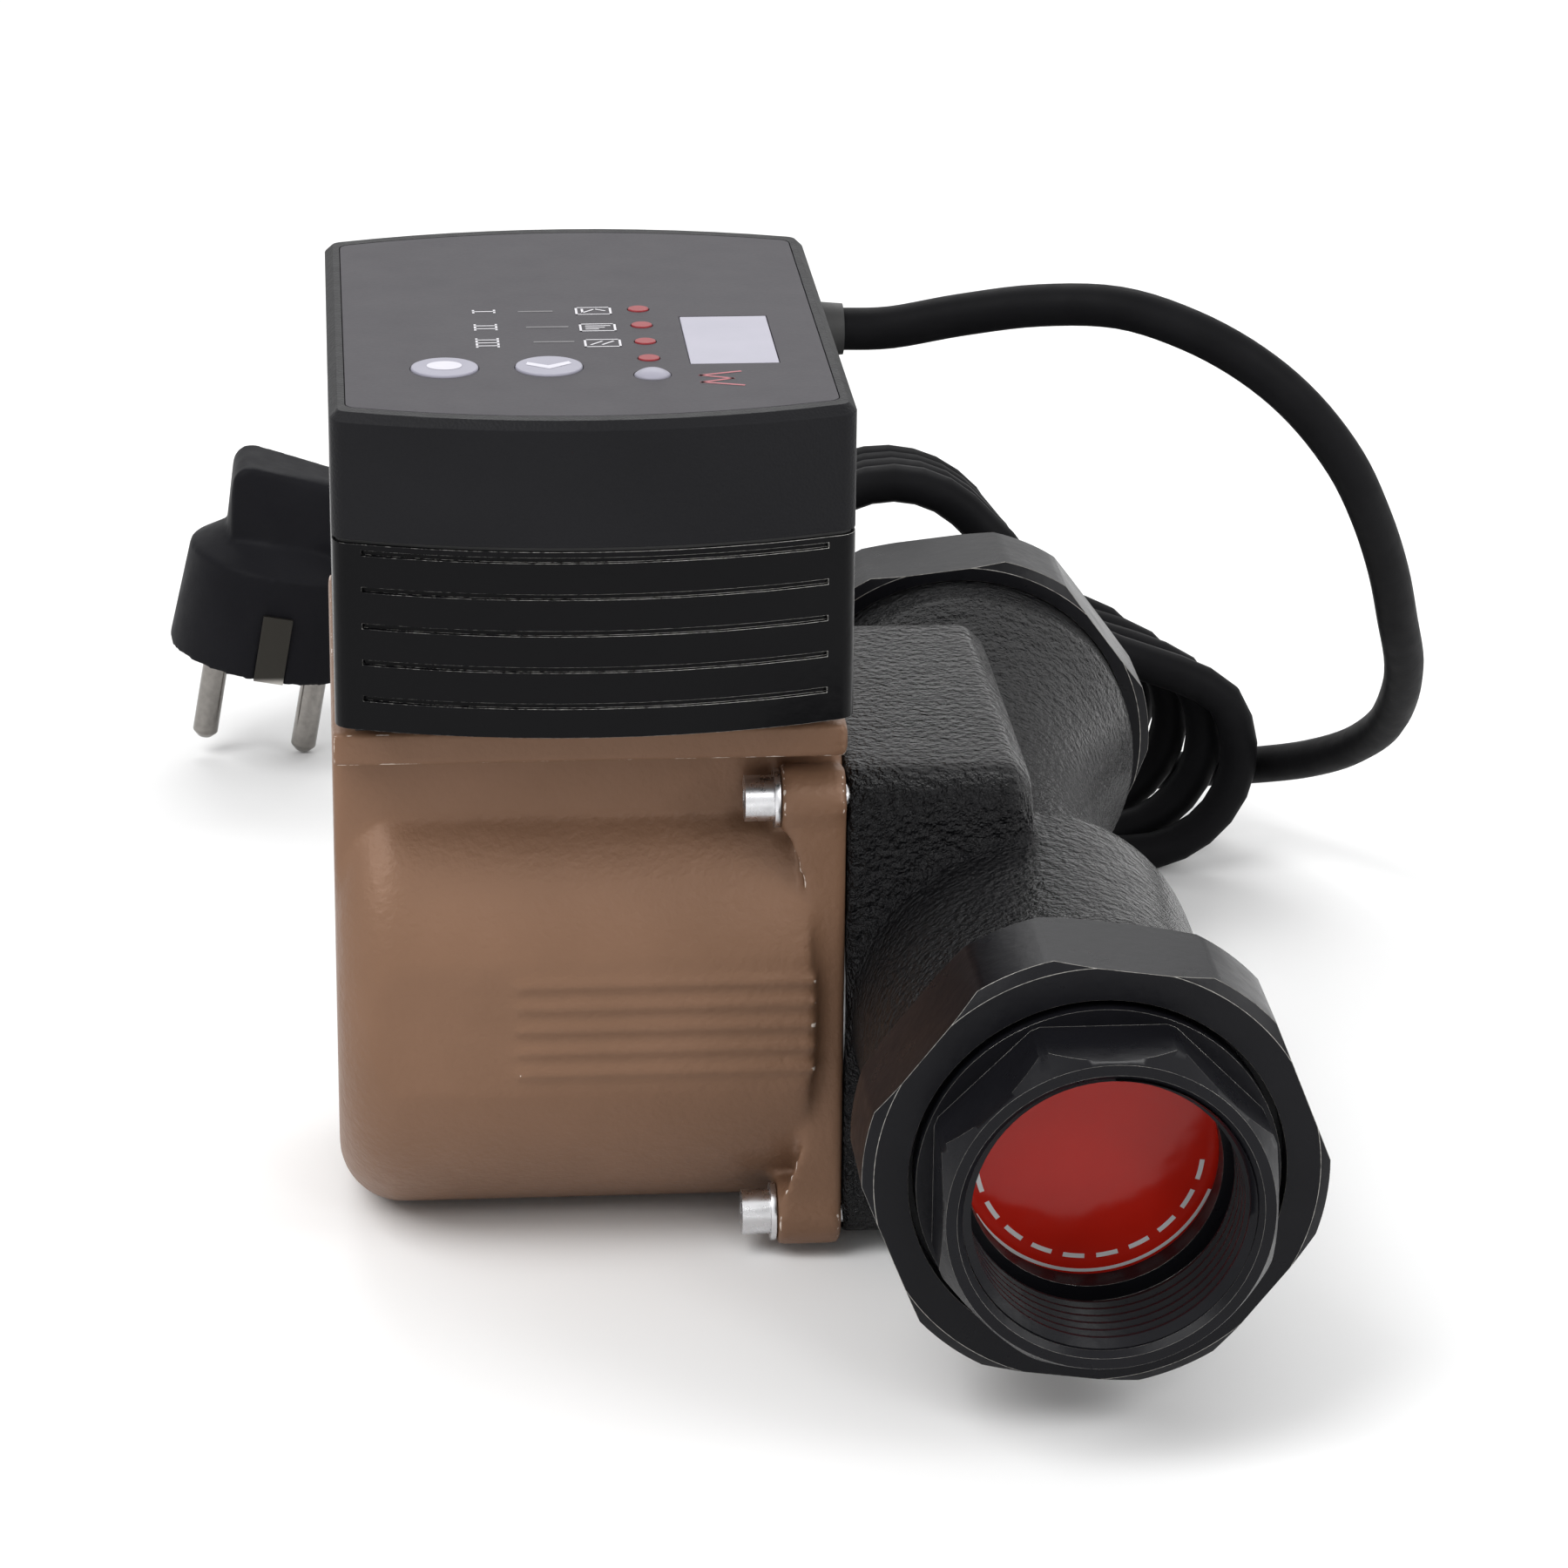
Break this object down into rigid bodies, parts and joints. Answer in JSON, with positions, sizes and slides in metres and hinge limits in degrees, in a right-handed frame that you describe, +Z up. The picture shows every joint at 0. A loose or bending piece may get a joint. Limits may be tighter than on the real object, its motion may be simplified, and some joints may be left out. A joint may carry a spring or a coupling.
{
  "type": "circulation pump",
  "caption": "Wet-rotor circulation pump with in-line threaded union connections, a flanged motor, a finned control box with a front panel and a coiled supply cord with plug",
  "frame": {"origin": "on the floor, under the middle of the bounding box taken without the cord", "axes": "X along the motor's axis towards the volute, Y along the flow from inlet to outlet, Z up"},
  "size_m": [0.2183, 0.3286, 0.1417],
  "materials": {
    "cast_black": "gloss black paint over rough casting",
    "cast_brown": "satin brown orange-peel paint",
    "black_paint": "smooth black with worn edges",
    "steel": "bright",
    "iron": "laminated",
    "copper": "enamelled wire",
    "ceramic": "smooth ceramic",
    "carbon": "fine carbon",
    "seal_rubber": "matte",
    "wheel_plastic": "moulded",
    "red_plastic": "gloss",
    "base_black": "gloss black with worn fin edges",
    "cover_black": "fine textured",
    "panel_grey": "satin",
    "button_grey": "satin",
    "window": "satin",
    "lamp_red": "satin",
    "lamp_grey": "gloss",
    "board_green": "satin",
    "white_plastic": "moulded",
    "cord_rubber": "matte",
    "plug_rubber": "satin",
    "pin_metal": "bright nickel"
  },
  "bodies": {
    "pump": {"volute": "cast_black", "wear_ring": "steel", "housing_seal": "seal_rubber", "bearing_plate": "steel", "rotor_can": "steel", "front_bearing": "carbon", "rear_bearing": "carbon", "stator_core": "iron", "stator_windings": "copper", "motor_leads": "white_plastic", "motor_housing": "cast_brown", "flange_screws": "steel", "flange_washers": "steel", "vent_seal": "seal_rubber", "inlet_port_disc": "red_plastic", "inlet_gasket": "seal_rubber", "inlet_tailpiece": "black_paint", "outlet_port_disc": "red_plastic", "outlet_gasket": "seal_rubber", "outlet_tailpiece": "black_paint", "deck_gasket": "seal_rubber", "box_base": "base_black", "base_screws": "steel", "terminal_block": "white_plastic", "capacitor": "white_plastic", "inductor": "copper", "cover_seal": "seal_rubber", "box_cover": "cover_black", "cover_screws": "steel", "circuit_board": "board_green", "board_screws": "steel", "key_switches": "carbon", "display_module": "white_plastic", "display_window": "window", "red_lamps": "lamp_red", "status_lamp": "lamp_grey", "front_panel": "panel_grey", "cord_gland": "seal_rubber", "supply_leads": "white_plastic", "cord_lead": "cord_rubber", "cord_hank": "cord_rubber", "cord_tail": "cord_rubber", "plug_body": "plug_rubber", "plug_pins": "pin_metal", "plug_earth_contacts": "pin_metal"},
    "rotor": {"rotor_shaft": "ceramic", "rotor_core": "iron", "rotor_sleeve": "steel", "thrust_ring": "carbon", "impeller": "wheel_plastic"},
    "inlet_nut": {"inlet_nut": "black_paint"},
    "outlet_nut": {"outlet_nut": "black_paint"},
    "vent_screw": {"vent_screw": "steel"},
    "left_button": {"left_button": "button_grey"},
    "right_button": {"right_button": "button_grey"}
  },
  "joints": [
    {"name": "rotor_spin", "type": "hinge", "parent": "pump", "child": "rotor", "pos_m": [0, 0, 0.041], "axis": [1, 0, 0], "continuous": true},
    {"name": "inlet_nut_turn", "type": "hinge", "parent": "pump", "child": "inlet_nut", "pos_m": [0.03687, 0, 0.041], "axis": [0, 1, 0], "continuous": true},
    {"name": "outlet_nut_turn", "type": "hinge", "parent": "pump", "child": "outlet_nut", "pos_m": [0.03687, 0, 0.041], "axis": [0, 1, 0], "continuous": true},
    {"name": "vent_screw_turn", "type": "hinge", "parent": "pump", "child": "vent_screw", "pos_m": [0, 0, 0.041], "axis": [1, 0, 0], "continuous": true},
    {"name": "left_button_press", "type": "slide", "parent": "pump", "child": "left_button", "axis": [0, 0, -1], "range_m": [0, 0.0004], "stiffness_N_per_m": 600, "springref_m": -0.0003},
    {"name": "right_button_press", "type": "slide", "parent": "pump", "child": "right_button", "axis": [0, 0, -1], "range_m": [0, 0.0004], "stiffness_N_per_m": 600, "springref_m": -0.0003}
  ]
}
